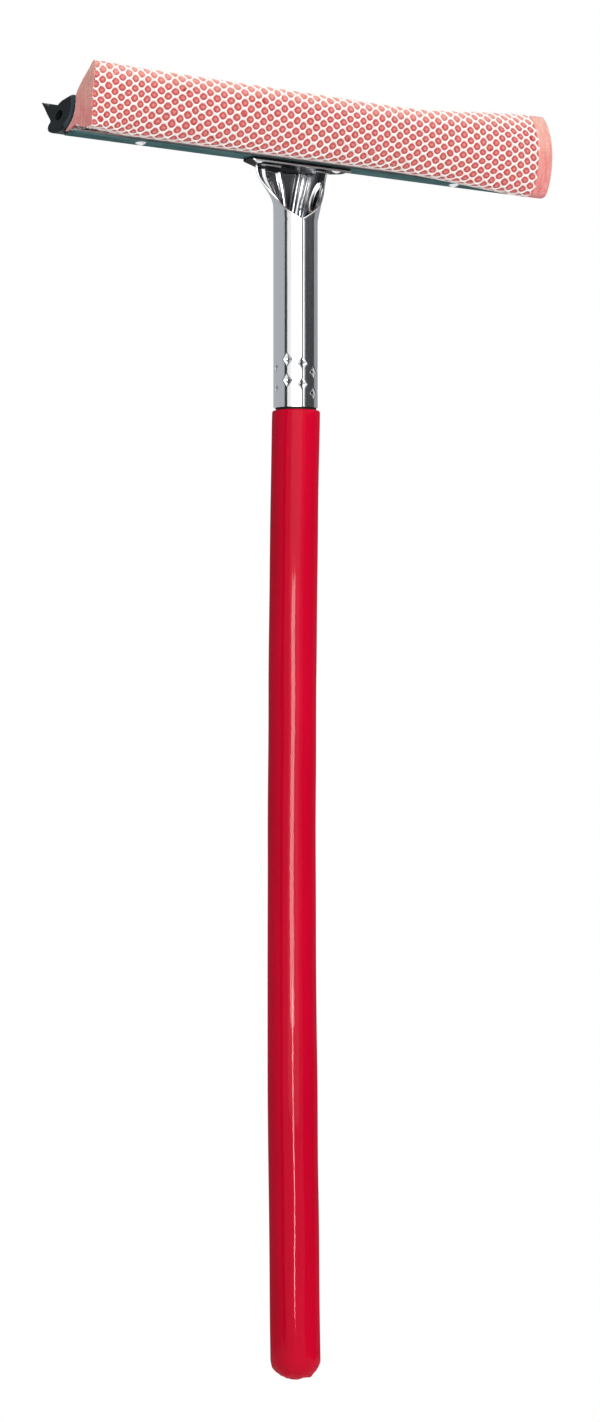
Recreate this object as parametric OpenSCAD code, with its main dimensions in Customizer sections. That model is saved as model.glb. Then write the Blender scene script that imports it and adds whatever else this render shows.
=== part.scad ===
// Window scrubber: a netted foam sponge and a rubber wiping blade held in one
// folded steel channel, on a pressed ferrule and a turned wooden handle.
// Millimetres. +Z runs up the handle, -Y is the sponge side, X runs along the
// head. The origin is the centre of the round butt at the grip's full width.

/* [Handle] */
// Length of the dowel from the start of its round butt to the ferrule's rim
handle_len = 432; // [300:1:560]
// Diameter of the thick grip end
grip_d = 22.8; // [22.4:0.1:30]
// Diameter of the dowel above the grip
shaft_d = 21.8; // [20.8:0.1:22.4]
// Height of the rounded butt below the grip's full width
butt_len = 9; // [6:0.5:14]
// Length of the grip at its full diameter
grip_len = 110; // [60:1:180]
// Length in which the grip eases down to the shaft
grip_ease = 120; // [20:1:170]
// Length of the tenon that goes up into the ferrule
tenon_len = 62; // [30:1:80]
// Bevel on the painted shoulder below the ferrule
shoulder_bevel = 0.7; // [0.3:0.1:0.8]

/* [Ferrule] */
// Outside diameter of the socket tube
ferrule_d = 20.2; // [18:0.1:20.6]
// Thickness of the ferrule's sheet steel
ferrule_t = 0.8; // [0.6:0.1:1.2]
// Length of the plain tube from its rim to the foot of the V
tube_len = 84.6; // [70:0.2:110]
// Height of the opened flare above the tube
flare_len = 24.2; // [18:0.2:32]
// Width across the two wings at the top of the flare
wing_w = 39; // [30:1:44]
// Distance from the ferrule's axis to its back wall at the top
wing_back = 8.8; // [7:0.1:10]
// Sideways lean of the flare, which was opened a little off centre
flare_shift = -2; // [-3:0.5:3]
// Angle of the rolled seam from the back of the tube
seam_angle = 200; // [180:5:210]
// Width of the gap along the seam
seam_gap = 0.4; // [0.2:0.1:1]
// Radial play between the tenon and the tube
tenon_gap = 0.1; // [0.05:0.05:0.3]
// Crimp dents in each of the two rings
crimp_count = 9; // [6:1:12]
// Angle of the first crimp dent from the back of the tube
crimp_turn = 40; // [0:5:80]
// Height of the lower crimp ring above the rim
crimp_low = 9; // [5:1:14]
// Height of the upper crimp ring above the rim
crimp_high = 18; // [15:1:26]
// Depth of a crimp dent
crimp_depth = 0.45; // [0.2:0.05:0.5]

/* [Bracket] */
// Length of the bracket plate along its front edge
bracket_len = 57; // [52:1:80]
// Length of the bracket plate behind its two tapered corners
bracket_waist = 32; // [28:1:40]
// Length of the bracket plate's back edge
bracket_back = 16; // [10:1:24]
// Thickness of the bracket plate
bracket_t = 0.8; // [0.6:0.1:1.6]
// Sideways place of the bracket plate
bracket_shift = -2.5; // [-3:0.5:3]
// Distance between the two bracket rivets
bracket_pitch = 44; // [40:1:46]

/* [Head channel] */
// Length of the steel channel and of the rubber blade
head_len = 254; // [200:1:360]
// Forward and upward tilt of the head
head_tilt = 4; // [0:1:8]
// Thickness of the galvanised sheet
sheet_t = 0.7; // [0.5:0.1:0.9]
// Place of the channel's front lip ahead of the handle's axis
web_front = 9.9; // [9.4:0.1:10.4]
// Place of the channel's back bend ahead of the handle's axis
web_back = 1.8; // [1.6:0.1:2]
// Height of the front lip above the channel's underside
lip_h = 1.3; // [1:0.1:1.5]
// Distance between the two channel rivets
rivet_pitch = 180; // [120:1:190]
// Diameter of every rivet's shank
rivet_d = 3; // [2.4:0.1:3.4]
// Diameter of every rivet's round head
rivet_head_d = 5; // [4.4:0.1:5.6]

/* [Clamp strip] */
// Width of the strip that pins the net inside the channel
clamp_w = 4; // [3.6:0.1:4.4]
// Thickness of the clamp strip
clamp_t = 0.8; // [0.5:0.1:1]
// Distance that the clamp strip stops short of each end of the channel
clamp_short = 5; // [2:1:15]

/* [Rubber blade] */
// Radius of the rubber's rounded face behind the sponge
bulb_r = 10.6; // [10:0.1:10.8]
// Radius of the rounded bead below the wiping edges
bead_r = 3.6; // [3:0.1:4]
// Height of the hollow along the rubber
core_h = 3.8; // [2:0.1:5]
// Width of the hollow along the rubber
core_w = 6.6; // [5:0.1:7.2]
// Play between the channel's back wall and the rubber's slot
slot_gap = 0.15; // [0.1:0.05:0.3]

/* [Sponge and net] */
// Distance that the sponge swells past the channel at its free end
sponge_over = 3.5; // [0:0.5:8]
// Bare foam left at the clipped end
bare_left = 2; // [1:0.5:20]
// Bare foam left at the free end
bare_right = 8; // [2:0.5:20]
// Thickness of the nylon net
net_t = 0.6; // [0.4:0.1:0.8]
// Play between the net and the foam
net_gap = 0.15; // [0.1:0.05:0.3]

/* [Hidden] */
$fn = 96;

rim_z = handle_len;
foot_z = rim_z + tube_len;
plate_z = foot_z + flare_len;
ferrule_r = ferrule_d / 2;
tube_bore_r = ferrule_r - ferrule_t;
tenon_r = tube_bore_r - tenon_gap;
// The flare is stretched thinner than the tube and starts inside its wall
flare_step = 0.15;
flare_t = ferrule_t - 2 * flare_step;

// Heights in the head's own frame, counted up from the bracket's underside
web_z = bracket_t;
web_top = web_z + sheet_t;
rivet_hole_gap = 0.1;
rivet_head_h = 1;
rivet_tail_h = 0.7;
rivet_line = -(web_front + web_back) / 2;
clamp_z = web_top + net_t + 0.6;
clamp_top = clamp_z + clamp_t;
clamp_gap = 0.3;

// The head's own frame: y back, z up, square to the tilted bracket
module head_frame() {
    translate([0, 0, plate_z]) rotate([-head_tilt, 0, 0]) children();
}

// Extrudes an outline drawn as [y, z] along X, centred on the handle
module along_head(length) {
    rotate([90, 0, 90]) translate([0, 0, -length / 2]) linear_extrude(length) children();
}

function mix(a, b, t) = a + (b - a) * t;
function clamp01(t) = min(1, max(0, t));
function ease(t) = let (c = clamp01(t)) c * c * (3 - 2 * c);

// Rounds a closed outline by cutting each corner at a quarter of its sides
function cut_corners(p) = [
    for (i = [0 : len(p) - 1], k = [0.25, 0.75]) mix(p[i], p[(i + 1) % len(p)], k)
];

// Moves each point of a closed outline inwards, square to its neighbours
function inset(p, d) = [
    for (i = [0 : len(p) - 1])
        let (n = len(p), along = p[(i + 1) % n] - p[(i + n - 1) % n])
        p[i] + d / norm(along) * [-along[1], along[0]]
];

// A closed skin through equal rings of points. Each flat end is a ladder of
// triangles from the ring's first half across to its second half
module loft(rings) {
    n = len(rings[0]);
    last = len(rings) - 1;
    points = [for (ring = rings) for (p = ring) p];
    walls = [
        for (j = [0 : last - 1], i = [0 : n - 1])
            let (k = (i + 1) % n, a = j * n + i, b = j * n + k, c = b + n, d = a + n)
            each [[a, c, b], [a, d, c]]
    ];
    caps = [
        for (i = [0 : n / 2 - 2])
            let (a = i, b = i + 1, c = n - 2 - i, d = n - 1 - i, end = last * n)
            each [
                [a, b, d], [b, c, d],
                [end + a, end + d, end + b], [end + b, end + d, end + c]
            ]
    ];
    polyhedron(points, concat(walls, caps), convexity = 6);
}

// Turned hardwood dowel with a round butt, a thicker grip and a tenon
module handle() {
    grip_r = grip_d / 2;
    shaft_r = shaft_d / 2;
    butt_step = 7.5;
    color("crimson") rotate_extrude() polygon(concat(
        [for (a = [0 : butt_step : 90]) [grip_r * sin(a), -butt_len * cos(a)]],
        [for (t = [0 : 0.125 : 1]) [mix(grip_r, shaft_r, ease(t)), grip_len + grip_ease * t]],
        [
            [shaft_r, rim_z - shoulder_bevel], [shaft_r - shoulder_bevel, rim_z],
            [tenon_r, rim_z], [tenon_r, rim_z + tenon_len - 2], [tenon_r - 1.5, rim_z + tenon_len],
            [0, rim_z + tenon_len]
        ]
    ));
}

// A point on the flare: a share up it, a share across it and a depth into the sheet
function flare_point(up, across, depth) =
    let (
        open_up = max(up, 0),
        // The left side of the V opens faster and further back than its right side
        left = mix(seam_angle - 360 + 2, -75, 1 - pow(1 - open_up, 3.2)),
        right = mix(seam_angle - 2, 97, 1 - pow(1 - open_up, 2.4)),
        angle = mix(left, right, across),
        // The right wing leans out evenly, while the left one bends out late and then stands upright
        spread = sin(angle) < 0 ? ease((open_up - 0.3) / 0.6) : pow(open_up, 1.1),
        half_w = mix(ferrule_r, wing_w / 2, spread) - flare_step - depth,
        half_d = mix(ferrule_r, wing_back, pow(open_up, 2)) - flare_step - depth,
        x = flare_shift * open_up * open_up + half_w * sin(angle),
        y = half_d * cos(angle),
        top = plate_z - y * tan(head_tilt)
    )
    [x, y, mix(foot_z, top, up)];

// The opened top of the ferrule: one bent sheet with a V down its front, rooted in the tube's wall
module flare() {
    steps_up = 8;
    steps_across = 36;
    root = -1 / flare_len;
    rings = [
        for (up = concat([root], [for (j = [0 : steps_up]) j / steps_up]))
            concat(
                [for (i = [0 : steps_across]) flare_point(up, i / steps_across, flare_t)],
                [for (i = [steps_across : -1 : 0]) flare_point(up, i / steps_across, 0)]
            )
    ];
    loft(rings);
}

// Plain tube of the ferrule, slit down its seam and crimped onto the tenon
module socket_tube() {
    dent_r = 2.2;
    difference() {
        translate([0, 0, rim_z]) cylinder(r = ferrule_r, h = tube_len);
        translate([0, 0, rim_z - 1]) cylinder(r = tube_bore_r, h = tube_len + 2);
        rotate([0, 0, -seam_angle]) translate([-seam_gap / 2, tube_bore_r - 1, rim_z - 1])
            cube([seam_gap, ferrule_t + 2, tube_len + 2]);
        for (ring = [crimp_low, crimp_high], i = [0 : crimp_count - 1])
            rotate([0, 0, crimp_turn + i * 360 / crimp_count])
                translate([0, ferrule_r + dent_r - crimp_depth, rim_z + ring]) sphere(r = dent_r, $fn = 16);
    }
}

// Rolled sheet-steel ferrule: a socket for the handle that opens into two wings
module ferrule() {
    color("silver") {
        socket_tube();
        flare();
    }
}

function bracket_rivet_x() = [bracket_shift - bracket_pitch / 2, bracket_shift + bracket_pitch / 2];
function channel_rivet_x() = [-rivet_pitch / 2, rivet_pitch / 2];

// Upright holes for one row of rivets, from one height to another
module rivet_holes(places, low, high) {
    for (x = places)
        translate([x, rivet_line, low]) cylinder(r = rivet_d / 2 + rivet_hole_gap, h = high - low);
}

// Flat stamped plate between the ferrule and the channel
module bracket_plate() {
    side_y = -1;
    waist_y = wing_back - 3;
    back_y = wing_back + 0.5;
    color("lightslategray") head_frame() difference() {
        translate([bracket_shift, 0, 0]) linear_extrude(bracket_t)
            polygon([
                [-bracket_len / 2, -web_front + 0.6], [bracket_len / 2, -web_front + 0.6],
                [bracket_len / 2, side_y], [bracket_waist / 2, waist_y], [bracket_back / 2, back_y],
                [-bracket_back / 2, back_y], [-bracket_waist / 2, waist_y], [-bracket_len / 2, side_y]
            ]);
        rivet_holes(bracket_rivet_x(), -1, web_top);
    }
}

// One rivet from its domed head at the bottom to its flat tail at the top
module rivet(bottom, top) {
    head_r = rivet_head_d / 2;
    dome_r = (head_r * head_r + rivet_head_h * rivet_head_h) / (2 * rivet_head_h);
    translate([0, 0, bottom]) {
        intersection() {
            translate([0, 0, dome_r - rivet_head_h]) sphere(r = dome_r);
            translate([0, 0, -rivet_head_h]) cylinder(r = head_r, h = rivet_head_h);
        }
        cylinder(r = rivet_d / 2, h = top - bottom);
        translate([0, 0, top - bottom]) cylinder(r = rivet_d / 2 + 0.5, h = rivet_tail_h);
    }
}

// Two rivets that hold the channel, the net and the clamp strip to the bracket
module bracket_rivets() {
    color("gainsboro") head_frame() for (x = bracket_rivet_x())
        translate([x, rivet_line, 0]) rivet(0, clamp_top);
}

// Two rivets that hold the clamp strip near the ends of the channel
module channel_rivets() {
    color("gainsboro") head_frame() for (x = channel_rivet_x())
        translate([x, rivet_line, 0]) rivet(web_z, clamp_top);
}

// The middle line of the channel's back wall, up into the rubber
function wall_line() = [
    [-web_back, web_z + sheet_t / 2], [0.1, web_z + 2.9], [-1.1, web_z + 4.9],
    [-2.2, web_z + 8.2], [-3.4, web_z + 11.6]
];

// A bent sheet drawn as a run of round-ended strokes along a line
module sheet_line(line, thickness) {
    for (i = [0 : len(line) - 2]) {
        run = line[i + 1] - line[i];
        translate(line[i]) rotate(atan2(run[1], run[0]))
            translate([0, -thickness / 2]) square([norm(run), thickness]);
        translate(line[i]) circle(d = thickness);
    }
    translate(line[len(line) - 1]) circle(d = thickness);
}

// Folded galvanised channel: front lip, web and a joggled back wall
module head_channel() {
    color("slategray") head_frame() difference() {
        along_head(head_len) {
            translate([-web_front + sheet_t / 2, web_z]) square([web_front - web_back - sheet_t / 2, sheet_t]);
            sheet_line([[-web_front + sheet_t / 2, web_z + sheet_t / 2],
                [-web_front + sheet_t / 2, web_z + lip_h - sheet_t / 2]], sheet_t);
            sheet_line(wall_line(), sheet_t);
        }
        rivet_holes(bracket_rivet_x(), 0, web_top + 1);
        rivet_holes(channel_rivet_x(), 0, web_top + 1);
    }
}

// Inner steel strip that pins the net down into the channel
module clamp_strip() {
    color("slategray") head_frame() difference() {
        translate([-head_len / 2 + clamp_short, rivet_line - clamp_w / 2, clamp_z])
            cube([head_len - 2 * clamp_short, clamp_w, clamp_t]);
        rivet_holes(bracket_rivet_x(), clamp_z - 1, clamp_top + 1);
        rivet_holes(channel_rivet_x(), clamp_z - 1, clamp_top + 1);
    }
}

// Extruded rubber: round bulb, hollow core, swallowtail wiping edges and a bead
module rubber_blade() {
    bulb_at = [0.2, web_z + 13.4];
    bead_at = [7.1, web_z + 6.7];
    core_at = [1.4, web_z + 10.2];
    crown_z = web_z + 15.6;
    color([0.1, 0.11, 0.12]) head_frame() along_head(head_len) difference() {
        union() {
            intersection() {
                translate(bulb_at) circle(r = bulb_r);
                translate([bulb_at[0] - bulb_r, web_z]) square([bulb_r + 0.4, crown_z - web_z]);
            }
            polygon([
                [0.1, web_z + 2.8], [bead_at[0], web_z + 3.2], [bead_at[0] + 1, web_z + 8.6],
                [10.2, web_z + 11.7], [12.4, web_z + 15.3], [14.2, web_z + 18.1],
                [10.9, web_z + 16.6], [9.2, web_z + 15], [7.5, web_z + 15.9], [2.1, web_z + 14],
                [0.6, web_z + 14.8], [-1.4, crown_z], [-4, crown_z]
            ]);
            translate(bead_at) circle(r = bead_r);
        }
        for (side = [-1, 1])
            translate([core_at[0] + side * (core_w - core_h) / 2, core_at[1]]) circle(d = core_h);
        translate([core_at[0] - (core_w - core_h) / 2, core_at[1] - core_h / 2])
            square([core_w - core_h, core_h]);
        sheet_line(wall_line(), sheet_t + 2 * slot_gap);
    }
}

// Corner points of the netted sponge's outline at three places along the head
root_outline = [
    [-2.4, web_top + 0.2], [-2.8, web_top + 1.8], [-7.3, web_top + 4.4], [-9.95, web_top + 8],
    [-11, web_top + 12.2]
];
lip_outline = [[-web_front - 0.1, web_z + lip_h + 0.7], [-web_front + 1.7, web_top + 0.3]];
outline_left = concat(root_outline, [
    [-11.2, 17], [-15.8, 21.2], [-21, 24.8], [-27, 29.6], [-26.4, 24.4], [-25.2, 19.5],
    [-24, 14], [-23, 8.5], [-22.6, 3], [-22.8, -2.4], [-14.5, -0.4]
], lip_outline);
outline_middle = concat(root_outline, [
    [-11.2, 17.5], [-15.5, 21.4], [-20.5, 25.4], [-25.5, 28.9], [-27.8, 25.9], [-27.9, 20.6],
    [-27, 15.5], [-25.4, 10], [-22.6, 4], [-19, 0.2], [-14, 0.6]
], lip_outline);
outline_right = concat(root_outline, [
    [-11, 18.5], [-15, 25], [-19.5, 30.5], [-24.5, 35.2], [-28.6, 30], [-31, 22],
    [-31.4, 14.5], [-30.4, 7.5], [-28, 0], [-24.5, -6], [-14.5, -3]
], lip_outline);

sponge_left = -head_len / 2;
sponge_right = head_len / 2 + sponge_over;
pinch_len = 24;
swell_len = 90;

// The skin's rounded outline at one place along the head
function skin(x) =
    let (
        pinch = ease((sponge_left + pinch_len - x) / pinch_len),
        swell = ease((x - sponge_right + swell_len) / swell_len),
        relaxed = mix(outline_middle, outline_right, swell)
    )
    cut_corners(mix(relaxed, outline_left, pinch));

function ring_at(x, depth) = [for (p = inset(skin(x), depth)) [x, p[0], p[1]]];

// Evenly spaced places of the rings along the sponge
ring_steps = 13;
function ring_x(j) =
    let (t = j / ring_steps)
    mix(sponge_left, sponge_right, t);
net_left = sponge_left + bare_left;
net_right = sponge_right - bare_right;
function in_net(x) = x > net_left + 1 && x < net_right - 1;
net_rings = concat([net_left], [for (j = [0 : ring_steps]) if (in_net(ring_x(j))) ring_x(j)], [net_right]);
foam_rings = concat([sponge_left], net_rings, [sponge_right]);

// Room in the net round the clamp strip and the tails of its rivets
module clamp_room() {
    low = clamp_z - clamp_gap + 0.05;
    top = clamp_top + clamp_gap;
    translate([sponge_left - 1, rivet_line - clamp_w / 2 - clamp_gap, low])
        cube([sponge_right - sponge_left + 2, clamp_w + 2 * clamp_gap, top - low]);
    for (x = concat(bracket_rivet_x(), channel_rivet_x()))
        translate([x, rivet_line, low])
            cylinder(r = rivet_d / 2 + 0.5 + clamp_gap, h = top + rivet_tail_h - low);
}

// The foam stops above the clamp strip and its rivets, where only the net goes down
module foam_root() {
    top = clamp_top + rivet_tail_h + clamp_gap;
    translate([sponge_left - 1, -web_front + 1, -1])
        cube([sponge_right - sponge_left + 2, web_front + 1, top + 1]);
}

// Foam sponge: rounded front, pinched at one end and swollen at the other
module sponge() {
    color("salmon") head_frame() difference() {
        loft([for (x = foam_rings) ring_at(x, net_t + net_gap)]);
        foam_root();
    }
}

// Sleeve of the net: a thin skin round the sponge, open at both ends
module net_sleeve() {
    color("mistyrose") head_frame() difference() {
        loft([for (x = net_rings) ring_at(x, 0)]);
        loft([
            for (x = net_rings)
                ring_at(x, net_t) + (x == net_left ? -1 : x == net_right ? 1 : 0) 
                    * [for (p = skin(x)) [1, 0, 0]]
        ]);
        rivet_holes(bracket_rivet_x(), 0, clamp_z);
        rivet_holes(channel_rivet_x(), 0, clamp_z);
        clamp_room();
    }
}

handle();
ferrule();
bracket_plate();
bracket_rivets();
head_channel();
channel_rivets();
clamp_strip();
rubber_blade();
sponge();
net_sleeve();
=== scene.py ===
# %% [markdown]
# # A window scrubber in Blender
# The object is a window washer: a red wooden handle, a bright steel ferrule, a
# folded steel channel, a rubber wiping blade and a foam sponge in a white net.
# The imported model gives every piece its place. This lesson keeps that frame and
# makes each visible piece again with the detail that a close look would show.

# %% Load the frame
import math
import bmesh
import bpy
from mathutils import Matrix, Vector, noise


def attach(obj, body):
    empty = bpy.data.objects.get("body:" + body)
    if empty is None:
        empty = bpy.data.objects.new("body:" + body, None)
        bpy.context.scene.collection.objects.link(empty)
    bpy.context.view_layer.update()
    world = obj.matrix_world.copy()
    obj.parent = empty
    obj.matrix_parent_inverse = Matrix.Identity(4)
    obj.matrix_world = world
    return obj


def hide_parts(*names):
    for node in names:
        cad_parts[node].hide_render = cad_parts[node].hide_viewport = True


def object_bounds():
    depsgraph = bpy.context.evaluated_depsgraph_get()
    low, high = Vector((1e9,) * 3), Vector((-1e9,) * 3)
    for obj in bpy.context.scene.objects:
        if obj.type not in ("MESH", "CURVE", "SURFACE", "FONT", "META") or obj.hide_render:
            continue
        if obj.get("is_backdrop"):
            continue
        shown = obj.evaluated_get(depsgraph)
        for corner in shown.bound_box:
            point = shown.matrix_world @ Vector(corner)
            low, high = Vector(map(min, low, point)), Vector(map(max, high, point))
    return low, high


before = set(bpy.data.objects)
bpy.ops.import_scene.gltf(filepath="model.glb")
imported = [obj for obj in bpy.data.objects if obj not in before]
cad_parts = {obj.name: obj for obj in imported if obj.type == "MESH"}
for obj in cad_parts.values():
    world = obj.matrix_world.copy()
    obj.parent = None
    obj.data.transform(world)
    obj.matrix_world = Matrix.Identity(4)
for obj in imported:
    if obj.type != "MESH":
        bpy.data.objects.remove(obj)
cad_box = [list(corner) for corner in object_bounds()]
MM = 0.001
NOISE_SEED = 1
noise.seed_set(NOISE_SEED)
print("nodes:", ", ".join(sorted(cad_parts)))

# %% [markdown]
# ## The camera
# The photo looks at the object from its front left, level, and level with the
# middle of the handle. A long lens from about a metre and a half gives the same
# slight perspective. The handle stands a little left of the picture's middle, so
# the camera is moved to its own right by that much, and needs no shift.

# %% Camera
PHOTO_HEIGHT = 1422
PHOTO_MIDDLE = 300
HANDLE_PIXEL = 295.5
PIXELS_PER_MM = 2.2
FOCAL_PIXELS = 3184
VIEW_TURN = math.radians(38)
EYE_HEIGHT = 294.5 * MM

camera_away = FOCAL_PIXELS / PIXELS_PER_MM * MM
camera_aside = (PHOTO_MIDDLE - HANDLE_PIXEL) / PIXELS_PER_MM * MM
looking = Vector((math.sin(VIEW_TURN), math.cos(VIEW_TURN), 0))
rightwards = Vector((math.cos(VIEW_TURN), -math.sin(VIEW_TURN), 0))

camera_data = bpy.data.cameras.new("camera")
camera_data.lens = FOCAL_PIXELS * camera_data.sensor_width / PHOTO_HEIGHT
camera = bpy.data.objects.new("camera", camera_data)
bpy.context.scene.collection.objects.link(camera)
camera.location = rightwards * camera_aside - looking * camera_away + Vector((0, 0, EYE_HEIGHT))
camera.rotation_euler = (math.radians(90), 0, -VIEW_TURN)
bpy.context.scene.camera = camera
print(f"lens {camera_data.lens:.1f} mm, {camera_away:.3f} m away")

# %% [markdown]
# ## Helpers for meshes
# Every piece is shaped in millimetres in a bmesh and becomes an object at the
# origin, so that a pattern in its material stays where it is. Corners that are
# sharper than a given angle are marked sharp, and the rest shade smoothly.

# %% Mesh helpers
def mix(a, b, t):
    """Blends two numbers."""
    return a + (b - a) * t


def smooth_step(t):
    """Eases from 0 to 1."""
    t = min(1, max(0, t))
    return t * t * (3 - 2 * t)


def bump_at(value, middle, width):
    """A round hill, one high and this wide from foot to foot."""
    t = abs(value - middle) / (width / 2)
    return 0 if t >= 1 else (1 - t * t) ** 2


def object_from(bm, name):
    """Turns a bmesh into an object at the origin."""
    mesh = bpy.data.meshes.new(name)
    bm.to_mesh(mesh)
    bm.free()
    made = bpy.data.objects.new(name, mesh)
    bpy.context.scene.collection.objects.link(made)
    return made


def piece_from(bm, name, material, stands_for=(), sharp=35):
    """Turns a bmesh in millimetres into a finished piece that rides on the tool."""
    bmesh.ops.transform(bm, matrix=Matrix.Scale(MM, 4), verts=bm.verts)
    bm.normal_update()
    for face in bm.faces:
        face.smooth = True
    for edge in bm.edges:
        if len(edge.link_faces) == 2 and edge.calc_face_angle(0) > math.radians(sharp):
            edge.smooth = False
    piece = object_from(bm, name)
    piece.data.materials.append(material)
    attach(piece, "root")
    if stands_for:
        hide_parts(*stands_for)
    print(f"{name}: {len(piece.data.vertices)} points, {len(piece.data.polygons)} faces")
    return piece


def bevel_edges(bm, edges, width, steps=2):
    """Rounds these edges with the settings of the editor's own bevel."""
    bmesh.ops.bevel(bm, geom=list(edges), offset=width, segments=steps, affect="EDGES",
                    profile=0.5, material=-1, clamp_overlap=True)


def sharp_edges(bm, angle):
    """The edges whose two faces meet at more than this angle."""
    bm.normal_update()
    return [e for e in bm.edges if len(e.link_faces) == 2
            and e.calc_face_angle(0) > math.radians(angle)]


def thicken(bm, thickness, outward, middle):
    """Gives a bent sheet its thickness on the side away from an outward direction."""
    bmesh.ops.recalc_face_normals(bm, faces=bm.faces)
    facing = max(bm.faces, key=lambda f: (f.calc_center_median() - middle).dot(outward))
    if facing.normal.dot(outward) < 0:
        bmesh.ops.reverse_faces(bm, faces=bm.faces)
    bmesh.ops.solidify(bm, geom=bm.faces, thickness=thickness)
    bmesh.ops.recalc_face_normals(bm, faces=bm.faces)


def pull(bm, faces, vec):
    """Extrudes faces by a step."""
    grown = bmesh.ops.extrude_face_region(bm, geom=faces)["geom"]
    bmesh.ops.translate(bm, vec=vec, verts=[g for g in grown if isinstance(g, bmesh.types.BMVert)])


def pull_edges(bm, edges, matrix):
    """Extrudes edges, moves the new ones by a matrix and gives them back."""
    grown = bmesh.ops.extrude_edge_only(bm, edges=edges)["geom"]
    bmesh.ops.transform(bm, matrix=matrix, verts=[g for g in grown if isinstance(g, bmesh.types.BMVert)])
    return [g for g in grown if isinstance(g, bmesh.types.BMEdge)]


def outline_face(bm, points):
    """One face through points in the plane across the head, given as (y, z)."""
    return bm.faces.new([bm.verts.new((0, y, z)) for y, z in points])


# %% [markdown]
# ## Materials
# Each finish is a small node tree round one Principled shader. One helper starts
# the tree, and the others add a node each. The noise takes its size in
# millimetres, so that grain, pores and orange peel have their real scale.

# %% Material helpers
def finish(name, colour, roughness, metallic=0.0, **sockets):
    """A material with its own shader sockets set, and its nodes ready for detail."""
    material = bpy.data.materials.new(name)
    material.use_nodes = True
    shader = material.node_tree.nodes["Principled BSDF"]
    shader.inputs["Base Color"].default_value = (*colour, 1)
    shader.inputs["Roughness"].default_value = roughness
    shader.inputs["Metallic"].default_value = metallic
    for socket, value in sockets.items():
        shader.inputs[socket.replace("_", " ")].default_value = value
    return material


def add_noise(material, size_mm, stretch=(1, 1, 1), detail=4, rough=0.55):
    """Noise in object space, with features about this many millimetres across."""
    tree = material.node_tree
    place = tree.nodes.new("ShaderNodeTexCoord")
    scale = tree.nodes.new("ShaderNodeMapping")
    scale.inputs["Scale"].default_value = stretch
    pattern = tree.nodes.new("ShaderNodeTexNoise")
    pattern.inputs["Scale"].default_value = 1 / (size_mm * MM)
    pattern.inputs["Detail"].default_value = detail
    pattern.inputs["Roughness"].default_value = rough
    tree.links.new(place.outputs["Object"], scale.inputs["Vector"])
    tree.links.new(scale.outputs["Vector"], pattern.inputs["Vector"])
    return pattern.outputs["Fac"]


def add_ramp(material, value, stops):
    """A colour ramp over a value, with stops given as (place, colour)."""
    ramp = material.node_tree.nodes.new("ShaderNodeValToRGB")
    for _ in range(len(stops) - 2):
        ramp.color_ramp.elements.new(0.5)
    for element, (place, colour) in zip(ramp.color_ramp.elements, stops):
        element.position = place
        element.color = (*colour, 1)
    material.node_tree.links.new(value, ramp.inputs["Fac"])
    return ramp.outputs["Color"]


def add_range(material, value, low, high, start=0.0, stop=1.0):
    """Stretches a value between start and stop over a new range."""
    span = material.node_tree.nodes.new("ShaderNodeMapRange")
    span.inputs["From Min"].default_value = start
    span.inputs["From Max"].default_value = stop
    span.inputs["To Min"].default_value = low
    span.inputs["To Max"].default_value = high
    material.node_tree.links.new(value, span.inputs["Value"])
    return span.outputs["Result"]


def feed(material, socket, value):
    """Links an output to a socket, or sets the socket to a plain value."""
    if isinstance(value, bpy.types.NodeSocket):
        material.node_tree.links.new(value, socket)
    else:
        socket.default_value = value


def add_mix(material, share, first, second, blend="MIX"):
    """Blends two colours."""
    node = material.node_tree.nodes.new("ShaderNodeMix")
    node.data_type = "RGBA"
    node.blend_type = blend
    for socket, value in (("Factor", share), ("A", first), ("B", second)):
        feed(material, node.inputs[socket], value)
    return node.outputs["Result"]


def add_maths(material, operation, first, second=0.0):
    """One step of arithmetic."""
    node = material.node_tree.nodes.new("ShaderNodeMath")
    node.operation = operation
    feed(material, node.inputs[0], first)
    feed(material, node.inputs[1], second)
    return node.outputs["Value"]


def add_attribute(material, name):
    """A share that the mesh keeps at its points."""
    node = material.node_tree.nodes.new("ShaderNodeAttribute")
    node.attribute_name = name
    return node.outputs["Fac"]


def add_place(material, axis):
    """One coordinate of a place on the object, in metres."""
    tree = material.node_tree
    split = tree.nodes.new("ShaderNodeSeparateXYZ")
    tree.links.new(tree.nodes.new("ShaderNodeTexCoord").outputs["Object"], split.inputs["Vector"])
    return split.outputs[axis]


def add_bump(material, height, depth_mm, strength=1.0):
    """A bump of this depth on the shader's normal."""
    tree = material.node_tree
    bump = tree.nodes.new("ShaderNodeBump")
    bump.inputs["Distance"].default_value = depth_mm * MM
    bump.inputs["Strength"].default_value = strength
    tree.links.new(height, bump.inputs["Height"])
    tree.links.new(bump.outputs["Normal"], tree.nodes["Principled BSDF"].inputs["Normal"])


def plug_in(material, output, socket):
    """Links an output to a socket of the material's shader."""
    shader = material.node_tree.nodes["Principled BSDF"]
    material.node_tree.links.new(output, shader.inputs[socket])


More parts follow.
